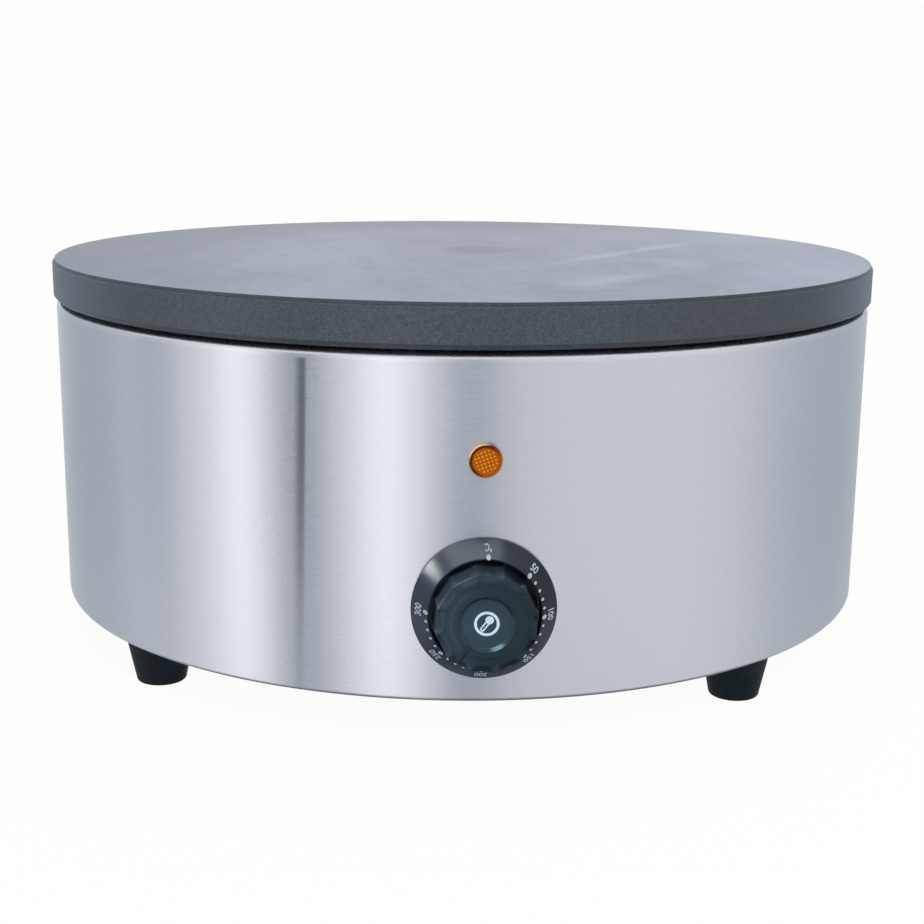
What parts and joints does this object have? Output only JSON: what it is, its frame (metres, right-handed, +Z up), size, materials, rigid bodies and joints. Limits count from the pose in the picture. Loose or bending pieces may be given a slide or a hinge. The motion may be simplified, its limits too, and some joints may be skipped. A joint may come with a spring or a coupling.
{
  "type": "electric crepe maker",
  "caption": "Round countertop electric crepe maker: cast-iron griddle plate on a brushed steel drum with rubber feet, a thermostat knob and an amber pilot lamp.",
  "frame": {"origin": "on the floor under the drum's axis", "axes": "+Z up along the drum's axis; -Y is the front, where the control knob is; +X is right as seen from the front"},
  "size_m": [0.3999, 0.4386, 0.1815],
  "materials": {
    "plate_iron": "machined top, rough cast rim",
    "drum_steel": "brushed round the drum",
    "zinc_steel": "zinc plated",
    "sheet_steel": "aluminised sheet",
    "foot_rubber": "satin black",
    "seal_rubber": "matte black",
    "dial_plastic": "glossy black with white print",
    "knob_plastic": "satin black",
    "lens_amber": "clear amber",
    "housing_plastic": "moulded black",
    "gland_nylon": "black nylon",
    "element_sheath": "heat-darkened",
    "ceramic_white": "unglazed",
    "fibre_blanket": "compressed ceramic fibre",
    "copper": "drawn copper",
    "brass": "bright",
    "spring_steel": "spring steel",
    "lead_sleeve": "silicone sleeve"
  },
  "bodies": {
    "base": {"griddle_plate": "plate_iron", "plate_studs": "zinc_steel", "plate_washers": "ceramic_white", "plate_nuts": "zinc_steel", "outer_heating_element": "element_sheath", "inner_heating_element": "element_sheath", "heater_terminals": "brass", "heater_bushes": "ceramic_white", "clamp_bars": "sheet_steel", "clamp_studs": "zinc_steel", "clamp_nuts": "zinc_steel", "sensor_bulb": "copper", "bulb_clips": "spring_steel", "bulb_clip_screws": "zinc_steel", "capillary_tube": "copper", "reflector_pan": "sheet_steel", "insulation_disc": "fibre_blanket", "drum_shell": "drum_steel", "base_plate": "sheet_steel", "base_screws": "zinc_steel", "base_nuts": "zinc_steel", "foot_front_left": "foot_rubber", "foot_front_right": "foot_rubber", "foot_rear_right": "foot_rubber", "foot_rear_left": "foot_rubber", "foot_washers": "zinc_steel", "foot_screws": "zinc_steel", "foot_nuts": "zinc_steel", "control_bezel": "dial_plastic", "thermostat_yoke": "sheet_steel", "thermostat_body": "housing_plastic", "thermostat_blades": "brass", "thermostat_screws": "zinc_steel", "lamp_lens": "lens_amber", "lamp_body": "housing_plastic", "lamp_nut": "housing_plastic", "lamp_pins": "brass", "gland_seal": "seal_rubber", "gland_body": "gland_nylon", "gland_cap": "gland_nylon", "gland_bush": "seal_rubber", "gland_locknut": "gland_nylon", "terminal_block": "ceramic_white", "block_clamp_screws": "brass", "block_screws": "zinc_steel", "earth_stud": "zinc_steel", "earth_nuts": "zinc_steel", "earth_tag": "brass", "live_lead": "lead_sleeve", "neutral_lead": "lead_sleeve", "heater_lead": "lead_sleeve", "heater_links": "lead_sleeve", "earth_lead": "lead_sleeve", "lamp_leads": "lead_sleeve"},
    "knob": {"control_knob": "knob_plastic", "thermostat_spindle": "zinc_steel", "knob_clip": "spring_steel"}
  },
  "joints": [
    {"name": "knob_turn", "type": "hinge", "parent": "base", "child": "knob", "pos_m": [0, -0.205, 0.0598], "axis": [0, 1, 0], "range_deg": [-213.8, 56.2]}
  ]
}
